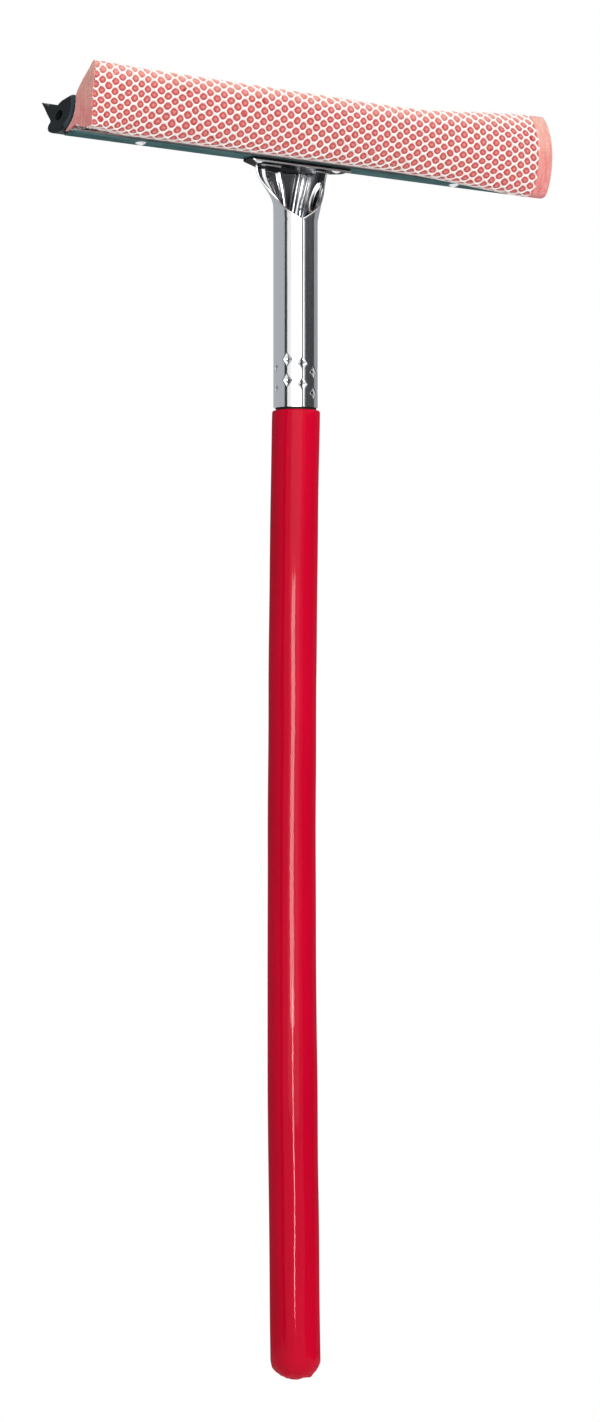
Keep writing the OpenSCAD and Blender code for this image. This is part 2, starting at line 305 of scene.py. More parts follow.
# %% Red paint
PAINT_END = 431
red_paint = finish("red_paint", (0.56, 0.002, 0.022), 0.45, Specular_IOR_Level=0.0,
                   Coat_Weight=0.16, Coat_Roughness=0.04)
paint_tone = add_noise(red_paint, 22, stretch=(1, 1, 0.25), detail=3)
paint_colour = add_ramp(red_paint, paint_tone, [
    (0.3, (0.52, 0.0015, 0.02)), (0.7, (0.60, 0.002, 0.025))])
# The tenon above the paint is bare wood, given a near-black colour: painted shade in the gap under the
# ferrule's rim.
tenon_in_shade = add_range(red_paint, add_place(red_paint, "Z"), 0, 1, (PAINT_END - 0.1) * MM, PAINT_END * MM)
bare_wood_in_shade = (0.03, 0.02, 0.015, 1)
plug_in(red_paint, add_mix(red_paint, tenon_in_shade, paint_colour, bare_wood_in_shade), "Base Color")
paint_peel = add_noise(red_paint, 4, stretch=(1, 1, 0.3), detail=2)
add_bump(red_paint, paint_peel, 0.1, 0.5)
print("paint ready")

# %% Bright ferrule steel
bright_steel = finish("bright_steel", (0.78, 0.79, 0.8), 0.16, metallic=1.0)
drawn_lines = add_noise(bright_steel, 1.4, stretch=(1, 1, 0.03), detail=3)
plug_in(bright_steel, add_range(bright_steel, drawn_lines, 0.07, 0.2), "Roughness")
# Dark tone where the attribute says so: painted shade inside the flare and beside each dent.
shade_tone = add_ramp(bright_steel, add_noise(bright_steel, 2.6, stretch=(1, 1, 0.12), detail=2), [
    (0.38, (0.05, 0.054, 0.064)), (0.62, (0.5, 0.51, 0.53))])
steel_tone = add_mix(bright_steel, add_attribute(bright_steel, "inside"), (0.80, 0.81, 0.82, 1), shade_tone)
plug_in(bright_steel, steel_tone, "Base Color")
add_bump(bright_steel, drawn_lines, 0.03, 0.5)
print("ferrule steel ready")

# %% Galvanised steel
def dull_sheet(name, dark, pale, tint):
    """Dull plated sheet steel between two tones, with a highlight painted where its attribute says so."""
    sheet = finish(name, pale, 0.36, metallic=1.0, Specular_Tint=(*tint, 1))
    spangle = add_noise(sheet, 4, stretch=(0.4, 1, 1), detail=4)
    tone = add_ramp(sheet, spangle, [(0.35, dark), (0.65, pale)])
    highlight_mix = add_mix(sheet, add_attribute(sheet, "edge_highlight"), tone, (0.72, 0.75, 0.75, 1))
    plug_in(sheet, highlight_mix, "Base Color")
    plug_in(sheet, add_range(sheet, spangle, 0.3, 0.5), "Roughness")
    add_bump(sheet, add_noise(sheet, 1.2), 0.02, 0.5)
    return sheet


galvanised = dull_sheet("galvanised", (0.085, 0.15, 0.155), (0.15, 0.225, 0.23), (0.3, 0.4, 0.4))
# The bracket's sheet takes dark neutral tones: painted shade under the channel.
shaded_bracket_steel = dull_sheet("shaded_bracket_steel", (0.03, 0.032, 0.034), (0.09, 0.094, 0.1), (0.4, 0.4, 0.4))
print("galvanised steel ready")

# %% Black rubber
FLAP_MIDDLE_Y = 1.2
FLAP_MIDDLE_Z = 555
FLAP_RIM = (7.6, 8.1)
FLAP_FRONT = (-1, -4)
black_rubber = finish("black_rubber", (0.012, 0.014, 0.016), 0.45, Specular_IOR_Level=0.15)
bloom = add_noise(black_rubber, 9, detail=5)
rubber_colour = add_ramp(black_rubber, bloom, [
    (0.35, (0.005, 0.007, 0.008)), (0.75, (0.015, 0.019, 0.021))])
# A paler blue-grey band round the front of the flap's rim: a painted sheen.
across = add_maths(black_rubber, "SUBTRACT", add_place(black_rubber, "Y"), FLAP_MIDDLE_Y * MM)
above = add_maths(black_rubber, "SUBTRACT", add_place(black_rubber, "Z"), FLAP_MIDDLE_Z * MM)
squares = [add_maths(black_rubber, "MULTIPLY", side, side) for side in (across, above)]
away = add_maths(black_rubber, "SQRT", add_maths(black_rubber, "ADD", *squares))
on_rim = add_range(black_rubber, away, 0, 1, *(edge * MM for edge in FLAP_RIM))
in_front = add_range(black_rubber, across, 0, 1, *(edge * MM for edge in FLAP_FRONT))
painted_sheen = add_maths(black_rubber, "MULTIPLY", on_rim, in_front)
flap_sheen_tone = add_mix(black_rubber, painted_sheen, rubber_colour, (0.04, 0.062, 0.076, 1))
plug_in(black_rubber, flap_sheen_tone, "Base Color")
plug_in(black_rubber, add_range(black_rubber, bloom, 0.34, 0.56), "Roughness")
add_bump(black_rubber, add_noise(black_rubber, 0.8), 0.02, 0.4)
print("rubber ready")

# %% [markdown]
# ## The head's own frame
# The bracket, the channel, the rubber and the sponge are tilted four degrees
# forwards and up as one. They are shaped square to each other in the head's
# frame, with y towards the back and z up, and then turned together.

# %% Head frame
PLATE_Z = 540.8
HEAD_TILT = 4
HEAD_LEN = 254
head_turn = Matrix.Translation((0, 0, PLATE_Z)) @ Matrix.Rotation(math.radians(-HEAD_TILT), 4, "X")


def onto_head(bm):
    """Moves a bmesh from the head's frame to the tool's."""
    bmesh.ops.transform(bm, matrix=head_turn, verts=bm.verts)


print("head frame ready")

# %% [markdown]
# ## The handle
# A dowel turned from wood and dipped in paint: a round butt, a thicker grip that
# eases into a thinner shaft, and a small shoulder where the ferrule starts. One
# spun line makes it. Real dowels are never quite straight, so the whole rod is
# bowed by less than two millimetres between its ends. The paint ran down to the
# butt and dried there in small wrinkles with one hard drip.

# %% Handle
GRIP_R = 11.4
SHAFT_R = 10.9
BUTT = 9
GRIP_END = 110
EASE_END = 230
RIM_Z = 432
BOW = 1.73
TENON_R = 9.2
TENON_TOP = 62


def handle_line():
    """Radius and height of the painted surface from the butt to the tenon."""
    line = [(GRIP_R * math.sin(math.radians(a)), -BUTT * math.cos(math.radians(a)))
            for a in range(0, 91, 5)]
    line += [(GRIP_R, z) for z in range(5, GRIP_END, 5)]
    for i in range(21):
        t = i / 20
        line.append((mix(GRIP_R, SHAFT_R, smooth_step(t)), mix(GRIP_END, EASE_END, t)))
    line += [(SHAFT_R, z) for z in range(EASE_END + 5, RIM_Z - 3, 5)]
    line += [(SHAFT_R, RIM_Z - 2), (SHAFT_R - 0.15, RIM_Z - 1.5), (SHAFT_R - 0.7, RIM_Z - 1.1),
             (TENON_R, RIM_Z - 1), (TENON_R, RIM_Z + TENON_TOP - 2),
             (TENON_R - 1.5, RIM_Z + TENON_TOP), (0, RIM_Z + TENON_TOP)]
    return line


handle_bm = bmesh.new()
profile = [handle_bm.verts.new((r, 0, z)) for r, z in handle_line()]
profile_edges = [handle_bm.edges.new(pair) for pair in zip(profile, profile[1:])]
bmesh.ops.spin(handle_bm, geom=profile + profile_edges, axis=(0, 0, 1), cent=(0, 0, 0),
               dvec=(0, 0, 0), angle=math.tau, steps=96, use_merge=True)
bmesh.ops.remove_doubles(handle_bm, verts=handle_bm.verts, dist=0.001)
bmesh.ops.recalc_face_normals(handle_bm, faces=handle_bm.faces)
nub_at = rightwards * 6.2 - looking * 2.5 + Vector((0, 0, 1.6 - BUTT))
for v in handle_bm.verts:
    outward = Vector((v.co.x, v.co.y, 0)).normalized()
    if v.co.z < RIM_Z - 2:
        v.co += outward * noise.noise(Vector((v.co.x, v.co.y, v.co.z * 0.25)) * 0.09) * 0.2
    if v.co.z < 0:
        rough = min(1, -v.co.z / 4)
        v.co += v.co.normalized() * noise.noise(v.co * 0.45) * 0.45 * rough
        near_nub = max(0, 1 - (v.co - nub_at).length / 2.2)
        v.co += (rightwards * 0.7 - Vector((0, 0, 0.45))) * 1.3 * near_nub
    share = min(1, max(0, v.co.z / RIM_Z))
    v.co -= rightwards * BOW * math.sin(math.pi * share)
    if v.co.z < RIM_Z + 0.01:
        v.co += rightwards * 0.28 * max(0, share - 0.9) / 0.1
handle = piece_from(handle_bm, "painted_handle", red_paint, ["handle"])

# %% [markdown]
# ## The ferrule's tube
# A strip of thin steel rolled round the tenon. Its seam is a narrow open slit, and
# two rings of small punched dents bite into the wood. The tube is a grid that is
# rolled into shape, because the slit's edges and the dents are then just places on
# the grid. Above the foot of the V the same sheet opens into the two wings, with a
# rolled bead up each side of the V and two small tabs bent over at the top.

# %% Ferrule sheet
TUBE_R = 10.1
FOOT_Z = 516.6
WING_HALF = 19.5
WING_BACK = 8.8
FLARE_SHIFT = -2
SEAM = 200
SHEET = 0.7
SLIT = 1.5
CRIMPS = ((164, 6.5), (201, 10), (240, 11.9), (283, 9.3), (323, 8.2),
          (3, 9.4), (43, 8.6), (84, 7.4), (124, 7.8))
CRIMP_STEP = 9.5
CREASES = ((3, -5), (26, 31), (45, 48), (-32, -38))
TABS = (((-21, -1.4), (-23.5, -5), (-13.5, -7), (-12, -4.2)),
        ((17, -1.4), (15.5, -5.4), (6.8, -7), (8.4, -3.6)))
BEAD = 0.5
DENT_WIDE, DENT_TALL, DENT_DEEP = 2.6, 2.5, 1.15
V_LEFT, V_RIGHT = -75, 97
LEFT_BEND, RIGHT_BEND = 3.2, 2.4
POCKET_AT, POCKET_HALF = (76, 0.48), (15, 0.36)


def dent_depth(angle, z):
    """Depth of the crimp dents at an angle round the tube."""
    depth = 0
    for crimp_angle, low_crimp in CRIMPS:
        turn = abs((angle - crimp_angle + 180) % 360 - 180) / 180 * math.pi * TUBE_R
        for height in (low_crimp, low_crimp + CRIMP_STEP):
            star = (turn / DENT_WIDE) ** 0.85 + (abs(z - RIM_Z - height) / DENT_TALL) ** 0.85
            depth += max(0, 1 - star) ** 0.8
    return DENT_DEEP * depth


def crease(angle, share, width):
    """Height of the flare's creases, pressed inwards, from their angles at mid-height and at the top."""
    climb = (share - 0.35) / 0.65
    return max(bump_at(angle, mix(low, high, climb), width) for low, high in CREASES)


def flare_shape(up, angle):
    """Half width, half depth and sideways lean of the flare at a share of its height."""
    right_side = math.sin(math.radians(angle)) > 0
    wide = mix(TUBE_R, WING_HALF, up ** 1.1 if right_side else smooth_step((up - 0.3) / 0.6))
    deep = mix(TUBE_R, WING_BACK, up * up)
    return wide, deep, FLARE_SHIFT * up * up


def ferrule_point(up, across):
    """A point of the ferrule's outer face: up is in millimetres above the rim."""
    z = RIM_Z + up
    share = min(1, max(0, (z - FOOT_Z) / (PLATE_Z - FOOT_Z)))
    low = mix(SEAM - 360 + SLIT, V_LEFT, 1 - (1 - share) ** LEFT_BEND)
    high = mix(SEAM - SLIT, V_RIGHT, 1 - (1 - share) ** RIGHT_BEND)
    angle = mix(low, high, across)
    wide, deep, lean = flare_shape(share, angle)
    inward = dent_depth(angle, z)
    if share > 0:
        inward += 1.5 * smooth_step(share / 0.35) * crease(angle, share, 11)
        from_pocket = math.hypot((angle - POCKET_AT[0]) / POCKET_HALF[0],
                                 (share - POCKET_AT[1]) / POCKET_HALF[1])
        inward -= 1.2 * smooth_step((1 - from_pocket) / 0.4)
    radians = math.radians(angle)
    x = lean + (wide - inward) * math.sin(radians)
    y = (deep - inward) * math.cos(radians)
    top = PLATE_Z - y * math.tan(math.radians(HEAD_TILT))
    return Vector((x, y, min(z, top) if share < 1 else top))


def rolled_edge(bm, path, radius):
    """A round bead along a path, as a sheet's edge that was rolled over."""
    ring, place = None, None
    for i, point in enumerate(path):
        along = (path[min(i + 1, len(path) - 1)] - path[max(i - 1, 0)]).normalized()
        here = Matrix.Translation(point) @ along.to_track_quat("Z", "X").to_matrix().to_4x4()
        if ring is None:
            start = bmesh.ops.create_circle(bm, cap_ends=True, segments=8, radius=radius, matrix=here)
            ring = list({e for v in start["verts"] for e in v.link_edges})
        else:
            ring = pull_edges(bm, ring, here @ place.inverted())
        place = here
    bmesh.ops.holes_fill(bm, edges=ring, sides=0)


# %% Ferrule
tube_rows = [i * 0.5 for i in range(50)] + [25 + i * 5 for i in range(12)]
flare_rows = [FOOT_Z - RIM_Z + (PLATE_Z - FOOT_Z) * i / 30 for i in range(-1, 31)]
sheet_rows = tube_rows + flare_rows
SHEET_STEPS = 240

ferrule_bm = bmesh.new()
bmesh.ops.create_grid(ferrule_bm, x_segments=SHEET_STEPS, y_segments=len(sheet_rows) - 1, size=0.5)
for v in ferrule_bm.verts:
    row = round((v.co.y + 0.5) * (len(sheet_rows) - 1))
    v.co = ferrule_point(sheet_rows[row], v.co.x + 0.5)
thicken(ferrule_bm, SHEET, Vector((0, 1, 0)), Vector((0, 0, RIM_Z + 40)))
bevel_edges(ferrule_bm, sharp_edges(ferrule_bm, 60), 0.26, 3)
inside = ferrule_bm.verts.layers.float.new("inside")
ferrule_bm.normal_update()
for v in ferrule_bm.verts:
    share = min(1, max(0, (v.co.z - FOOT_Z) / (PLATE_Z - FOOT_Z)))
    wide, deep, lean = flare_shape(share, 90 if v.co.x > 0 else -90)
    outward = Vector((v.co.x - lean, v.co.y, 0)).normalized()
    angle = math.degrees(math.atan2((v.co.x - lean) / wide, v.co.y / deep))
    # Painted shade on the inner face, darkest low in the flare, paler towards its top and in its creases.
    if v.normal.dot(outward) < -0.3:
        fading = mix(1, 0.2, smooth_step((share - 0.4) / 0.4))
        v[inside] = (1 - 0.9 * min(1, 1.3 * crease(angle, share, 7))) * fading
    # Painted shade beside each dent: the dent's shape set off a little round the tube and downwards.
    elif v.co.z < FOOT_Z - 60:
        v[inside] = min(1, 1.6 * dent_depth(angle + 3.5, v.co.z + 0.45))
reach = max(math.hypot(v.co.x, v.co.y) for v in ferrule_bm.verts if v.co.z < RIM_Z + 60)
print(f"tube radius {reach:.2f} mm")
for corners in TABS:
    tab = ferrule_bm.faces.new([ferrule_bm.verts.new((x, y, PLATE_Z - 0.1 + (y + 1) * 0.14))
                                for x, y in corners])
    pull(ferrule_bm, [tab], (0, 0, -0.6))
for side in (0, 1):
    rim_path = [ferrule_point(up, side) for up in flare_rows[1:-1]]
    rolled_edge(ferrule_bm, [p - Vector((p.x, p.y, 0)).normalized() * 0.3 for p in rim_path], BEAD)
bmesh.ops.recalc_face_normals(ferrule_bm, faces=ferrule_bm.faces)
ferrule = piece_from(ferrule_bm, "rolled_ferrule", bright_steel, ["ferrule"], sharp=50)

# %% [markdown]
# ## The bracket plate
# A stamped plate between the flare and the channel. It tapers towards its back, and
# the punch has drawn its front edge down a little, so a dark gap runs above it. A
# flat face is extruded to the plate's thickness, and its edges are broken.

# %% Bracket plate
BRACKET_SHIFT = -2.5
BRACKET_THICK = 0.78
bracket_outline = [(-28.5, -9.3), (28.5, -9.3), (28.5, -1), (16, 5.8),
                   (8, 9.3), (-8, 9.3), (-16, 5.8), (-28.5, -1)]

bracket_bm = bmesh.new()
plate_face = bracket_bm.faces.new([bracket_bm.verts.new((x + BRACKET_SHIFT, y, 0))
                                   for x, y in bracket_outline])
pull(bracket_bm, [plate_face], (0, 0, BRACKET_THICK))
bmesh.ops.recalc_face_normals(bracket_bm, faces=bracket_bm.faces)
upright = [e for e in bracket_bm.edges if abs(e.verts[0].co.z - e.verts[1].co.z) > 0.5]
bevel_edges(bracket_bm, upright, 1.6, 3)
for y in (-7.6, -8.4):
    bmesh.ops.bisect_plane(bracket_bm, geom=bracket_bm.verts[:] + bracket_bm.edges[:] + bracket_bm.faces[:],
                           plane_co=(0, y, 0), plane_no=(0, 1, 0))
for v in bracket_bm.verts:
    v.co.z -= 1.1 * smooth_step((-7.5 - v.co.y) / 1.8)
bevel_edges(bracket_bm, sharp_edges(bracket_bm, 70), 0.18)
# A painted highlight along the drawn-down front edge.
edge_highlight = bracket_bm.verts.layers.float.new("edge_highlight")
for v in bracket_bm.verts:
    v[edge_highlight] = smooth_step((-8.6 - v.co.y) / 0.5)
onto_head(bracket_bm)
bracket = piece_from(bracket_bm, "bracket_plate_stamped", shaded_bracket_steel,
                     ["bracket_plate"])

# %% [markdown]
# ## The channel
# Galvanised sheet folded along its length: a short front lip, a flat web and a back
# wall that goes up into the rubber. The line of its outer face is swept along the
# head and then thickened inwards, so that the folds keep the sheet's thickness.

# %% Channel
WEB_Z = 0.8
SHEET_T = 0.7
channel_line = [(-9.9, WEB_Z + 1.3), (-9.9, WEB_Z + 0.5), (-9.75, WEB_Z + 0.15), (-9.4, WEB_Z),
                (-8.9, WEB_Z), (-1.8, WEB_Z), (-1.3, WEB_Z + 0.2), (0.2, WEB_Z + 2.2),
                (0.3, WEB_Z + 2.9), (-0.5, WEB_Z + 4.4)]

channel_bm = bmesh.new()
line_verts = [channel_bm.verts.new((-HEAD_LEN / 2, y, z)) for y, z in channel_line]
strip = [channel_bm.edges.new(pair) for pair in zip(line_verts, line_verts[1:])]
for _ in range(8):
    strip = pull_edges(channel_bm, strip, Matrix.Translation((HEAD_LEN / 8, 0, 0)))
thicken(channel_bm, SHEET_T, Vector((0, 0, -1)), Vector((0, 0, 0)))
heights = [v.co.z for v in channel_bm.verts]
print(f"channel spans z {min(heights):.2f} to {max(heights):.2f}")
bevel_edges(channel_bm, sharp_edges(channel_bm, 75), 0.15)
# A painted highlight along the top of the front lip.
edge_highlight = channel_bm.verts.layers.float.new("edge_highlight")
for v in channel_bm.verts:
    v[edge_highlight] = smooth_step((v.co.z - WEB_Z - 0.8) / 0.4) if v.co.y < -9 else 0
onto_head(channel_bm)
channel = piece_from(channel_bm, "folded_channel", galvanised, ["head_channel"])

# %% [markdown]
# ## The rubber blade
# An extruded black rubber profile: a round flap against the foam, a hollow core,
# a swallowtail of two wiping edges and a round bead. The profile is one face with
# an oval hole, filled between its two outlines and pulled along the head.

# %% Rubber blade
rubber_outline = [
    (-8.9, 13.3), (-9.3, 17.0), (-6.9, 16.95), (-3.5, 16.6), (-0.6, 16.2), (1.4, 15.6), (2.8, 14.9),
    (5.2, 15.7), (8.2, 16.7), (9.9, 15.9), (11.7, 17.4), (15.1, 18.9), (13.1, 16.1), (10.9, 12.6),
    (8.8, 9.6), (8.9, 9.0), (10.7, 7.6), (11.2, 6.2), (10.3, 4.9), (7.4, 3.7), (4.4, 3.3), (1.6, 3.4),
    (-0.3, 3.6), (-2.6, 3.9), (-5.9, 6.3), (-7.8, 9.4)]
CORE_MIDDLE = (2.2, 10.4)
CORE_HALF = (1.9, 3.0)
CORE_TURN = -20

rubber_bm = bmesh.new()
outline = outline_face(rubber_bm, rubber_outline)
bmesh.ops.delete(rubber_bm, geom=[outline], context="FACES_ONLY")
hole = bmesh.ops.create_circle(rubber_bm, cap_ends=False, segments=20, radius=1)["verts"]
bmesh.ops.transform(rubber_bm, verts=hole, matrix=Matrix.Translation((0, *CORE_MIDDLE))
                    @ Matrix.Rotation(math.radians(CORE_TURN), 4, "X")
                    @ Matrix.Rotation(math.radians(90), 4, "Y") @ Matrix.Diagonal((*CORE_HALF, 1, 1)))
section = bmesh.ops.triangle_fill(rubber_bm, use_beauty=True, edges=list(rubber_bm.edges))["geom"]
section_faces = [f for f in section if isinstance(f, bmesh.types.BMFace)]
bmesh.ops.translate(rubber_bm, vec=(-HEAD_LEN / 2, 0, 0), verts=rubber_bm.verts)
pull(rubber_bm, section_faces, (HEAD_LEN, 0, 0))
bmesh.ops.recalc_face_normals(rubber_bm, faces=rubber_bm.faces)
long_edges = [e for e in sharp_edges(rubber_bm, 12) if abs(e.verts[0].co.x - e.verts[1].co.x) > 1]
bevel_edges(rubber_bm, long_edges, 0.3, 2)
onto_head(rubber_bm)
rubber = piece_from(rubber_bm, "rubber_profile", black_rubber, ["rubber_blade"], sharp=40)

# %% [markdown]
# ## The skin of the sponge
# The foam and its net share one shape: a rounded front that is clipped tight at one
# end, rests in the middle and swells at its free end. The shape is three outlines
# across the head. Every place between them is a blend, smoothed by cutting its
# corners. A place on the skin is told by how far along the head it is and how far
# round it is from the steel lip, both in millimetres.

# %% Skin outlines
WEB_TOP = 1.5
root = [(-2.4, WEB_TOP + 0.2), (-2.8, WEB_TOP + 1.8), (-7.3, WEB_TOP + 4.4), (-9.95, WEB_TOP + 8),
        (-11, WEB_TOP + 12.2)]
lip = [(-10.0, 2.8), (-8.2, 1.8)]
outline_left = root + [
    (-11.2, 17), (-15.8, 21.2), (-21, 24.8), (-27, 29.6), (-26.4, 24.4), (-25.2, 19.5),
    (-24, 14), (-23, 8.5), (-22.8, 3.6), (-22.8, 0.2), (-14.5, 1.7), (-10.9, 4), (-8.2, 3.2)]
outline_middle = root + [
    (-11.2, 17.5), (-15.5, 21.4), (-20.5, 25.4), (-25.5, 28.9), (-27.8, 25.9), (-27.9, 20.6),
    (-27, 15.5), (-25.4, 10), (-22.6, 4), (-19, 0.2), (-14, 0.6)] + lip
outline_right = root + [
    (-11, 18.5), (-15, 25), (-19.5, 30.5), (-24.5, 35.2), (-28.6, 30), (-31, 22),
    (-31.4, 14.5), (-30.4, 7.5), (-28, 0), (-24.5, -6), (-14.5, -3)] + lip
SPONGE_LEFT = -HEAD_LEN / 2
SPONGE_RIGHT = HEAD_LEN / 2 + 3.5
PINCH = 24
SWELL = 90


def cut_corners(points):
    """Rounds a closed outline by cutting every corner at a quarter of its sides."""
    rounder = []
    for a, b in zip(points, points[1:] + points[:1]):
        rounder += [(mix(a[0], b[0], 0.25), mix(a[1], b[1], 0.25)),
                    (mix(a[0], b[0], 0.75), mix(a[1], b[1], 0.75))]
    return rounder


def outline_at(x):
    """The skin's outline at one place along the head, from the lip over the front to the root."""
    pinch = smooth_step((SPONGE_LEFT + PINCH - x) / PINCH)
    swell = smooth_step((x - SPONGE_RIGHT + SWELL) / SWELL)
    points = []
    for left, middle, right in zip(outline_left, outline_middle, outline_right):
        relaxed = [mix(m, r, swell) for m, r in zip(middle, right)]
        points.append(tuple(mix(r, l, pinch) for r, l in zip(relaxed, left)))
    for _ in range(3):
        points = cut_corners(points)
    return points[::-1]


class SkinRing:
    """One outline with the distance round it at every point."""

    def __init__(self, x):
        self.points = outline_at(x)
        self.points.append(self.points[0])
        self.reach = [0]
        for a, b in zip(self.points, self.points[1:]):
            self.reach.append(self.reach[-1] + math.dist(a, b))
        for i, (a, b) in enumerate(zip(self.points, self.points[1:])):
            if a[1] <= LEVEL < b[1] and a[0] < -15:
                self.level = mix(self.reach[i], self.reach[i + 1], (LEVEL - a[1]) / (b[1] - a[1]))
        self.crest = max(point[1] for point in self.points)

    def at(self, distance):
        """The point this far round, and the outward direction there."""
        distance = distance % self.reach[-1]
        low, high = 0, len(self.reach) - 1
        while high - low > 1:
            middle = (low + high) // 2
            if self.reach[middle] <= distance:
                low = middle
            else:
                high = middle
        t = (distance - self.reach[low]) / max(1e-9, self.reach[high] - self.reach[low])
        a, b = self.points[low], self.points[high]
        before, after = self.points[low - 1], self.points[(high + 1) % len(self.points)]
        tangent = (Vector(b) - Vector(a)).normalized()
        leaving = (Vector(after) - Vector(b)).normalized() if after != b else tangent
        coming = (Vector(a) - Vector(before)).normalized() if a != before else tangent
        tangent = (tangent + mix(coming, leaving, t)).normalized()
        return mix(a[0], b[0], t), mix(a[1], b[1], t), Vector((-tangent[1], tangent[0]))


RING_STEP = 1.0
LEVEL = 12
RINGS = int((SPONGE_RIGHT - SPONGE_LEFT) / RING_STEP) + 3
skin_rings = [SkinRing(SPONGE_LEFT + i * RING_STEP) for i in range(RINGS)]
girths = [ring.reach[-1] for ring in skin_rings]
print(f"girth {girths[0]:.0f} mm clipped, {min(girths):.0f} mm least, {max(girths):.0f} mm swollen")


def ring_near(x):
    """The outline nearest to a place along the head."""
    return skin_rings[min(len(skin_rings) - 1, max(0, round((x - SPONGE_LEFT) / RING_STEP)))]


def level_at(x):
    """How far round from the lip the skin reaches a fixed height on its front."""
    at = min(len(skin_rings) - 1.001, max(0, (x - SPONGE_LEFT) / RING_STEP))
    return mix(skin_rings[int(at)].level, skin_rings[int(at) + 1].level, at - int(at))


def on_skin(x, round_it, height):
    """A place on the skin, raised by a height, in the head's frame."""
    at = min(len(skin_rings) - 1.001, max(0, (x - SPONGE_LEFT) / RING_STEP))
    low = int(at)
    share = at - low
    y0, z0, out0 = skin_rings[low].at(round_it)
    y1, z1, out1 = skin_rings[low + 1].at(round_it)
    out = (out0 * (1 - share) + out1 * share).normalized()
    return Vector((x, mix(y0, y1, share) + out[0] * height, mix(z0, z1, share) + out[1] * height))


# %% [markdown]
# ## The lattice of the net
# The net is knotless nylon. Its openings stand in columns across the head, each
# column half an opening higher than the last, so the strands between them form
# near-regular hexagons with round corners. Real netting is uneven, so every corner
# wanders a little, the same way each time.

# %% Lattice
COLUMN = 3.72
ROW = 4.54
NET_LEFT = -HEAD_LEN / 2
NET_RIGHT = SPONGE_RIGHT - 8
HALF_FLAT = COLUMN * 0.24
HOLE_WIDE = 2.1
HOLE_TALL = 1.6
CLIPPED = -98
CLIP_COLUMNS = 0.86
CLIP_ROWS = 0.09
NET_RISE = 0.55


def wander(x, s):
    """How far the net has slipped at a place, in millimetres."""
    slow = noise.noise_vector(Vector((x * 0.035, s * 0.05, 3.1)))
    fast = noise.noise_vector(Vector((x * 0.21, s * 0.21, 8.4)))
    return slow.x * 0.5 + fast.x * 0.35, slow.y * 1.0 + fast.y * 0.35


def squeeze(x):
    """Where a column of the flat net ends up: the clip draws the columns together."""
    return x if x > CLIPPED else CLIPPED + (x - CLIPPED) * CLIP_COLUMNS


def unsqueeze(x):
    """The place on the flat net that ended up here."""
    return x if x > CLIPPED else CLIPPED + (x - CLIPPED) / CLIP_COLUMNS


def row_scale(x):
    """How much the clip also draws the rows together."""
    return 1 - CLIP_ROWS * smooth_step((CLIPPED + 8 - x) / 22)


def cell_share(x, s):
    """1 in the middle of the nearest opening, falling to 0 on the strands."""
    dx, ds = wander(x, s)
    x, s = unsqueeze(x - dx), (s - ds) / row_scale(x)
    best = 9
    near = round(x / COLUMN)
    for column in (near - 1, near, near + 1):
        offset = ROW / 2 if column % 2 else 0
        row = round((s - offset) / ROW)
        best = min(best, math.hypot((x - column * COLUMN) * 0.93, (s - offset - row * ROW) * 1.15))
    return max(0, 1 - best / 2.0)


print(f"lattice {COLUMN} by {ROW} mm")

# %% [markdown]
# ## The foam
# Open-celled pink foam, cut square at its ends and pressed out through the net's
# openings. A fine grid is wrapped round the skin, its seam is closed in the channel
# where nobody sees it, and one flat face closes each end. The swelling in every
# opening is real shape, and its share is kept as an attribute that paints the foam
# lighter where it bulges, a painted highlight, and darker beside a strand, painted shade.

# %% Foam material
TOP_LIGHT_RISE = (544, 572)
pink_foam = finish("pink_foam", (0.68, 0.15, 0.14), 0.9, Specular_IOR_Level=0.2,
                   Sheen_Weight=0.25, Sheen_Roughness=0.5)
pores = add_noise(pink_foam, 0.7, detail=5, rough=0.7)
cut_marks = add_noise(pink_foam, 1.6, stretch=(1, 1, 0.12), detail=4, rough=0.6)
spots = add_noise(pink_foam, 5, detail=1)
opening_light_and_shade = add_ramp(pink_foam, add_attribute(pink_foam, "opening"), [
    (0.0, (0.62, 0.14, 0.13)), (0.25, (0.56, 0.09, 0.09)), (0.5, (0.64, 0.12, 0.11)),
    (0.75, (0.82, 0.25, 0.22))])
bare_low = add_ramp(pink_foam, cut_marks, [
    (0.3, (0.78, 0.2, 0.185)), (0.5, (0.87, 0.29, 0.27)), (0.7, (0.92, 0.41, 0.39))])
bare_in_top_light = add_ramp(pink_foam, cut_marks, [
    (0.3, (0.80, 0.34, 0.26)), (0.5, (0.88, 0.47, 0.38)), (0.7, (0.92, 0.58, 0.48))])
pore_tone = add_ramp(pink_foam, pores, [(0.35, (0.62, 0.52, 0.52)), (0.6, (1, 1, 1))])
spot_tone = add_ramp(pink_foam, spots, [(0.7, (1, 1, 1)), (0.76, (0.75, 0.28, 0.28))])
# Bare foam is painted paler and more orange higher up: painted light from above.
top_light = add_range(pink_foam, add_place(pink_foam, "Z"), 0, 1, *(height * MM for height in TOP_LIGHT_RISE))
bare_and_top_light_tone = add_mix(pink_foam, top_light, bare_low, bare_in_top_light)
netted_tone = add_mix(pink_foam, 1, opening_light_and_shade, spot_tone, "MULTIPLY")
foam_tone = add_mix(pink_foam, add_attribute(pink_foam, "bare_end_and_lit_top"), netted_tone, bare_and_top_light_tone)
plug_in(pink_foam, add_mix(pink_foam, 0.6, foam_tone, pore_tone, "MULTIPLY"), "Base Color")
add_bump(pink_foam, pores, 0.25, 0.8)
print("foam ready")

# %% Foam body
FOAM_DEPTH = 0.55
FOAM_BULGE = 0.4
FOAM_ALONG = 400
FOAM_ROUND = 168

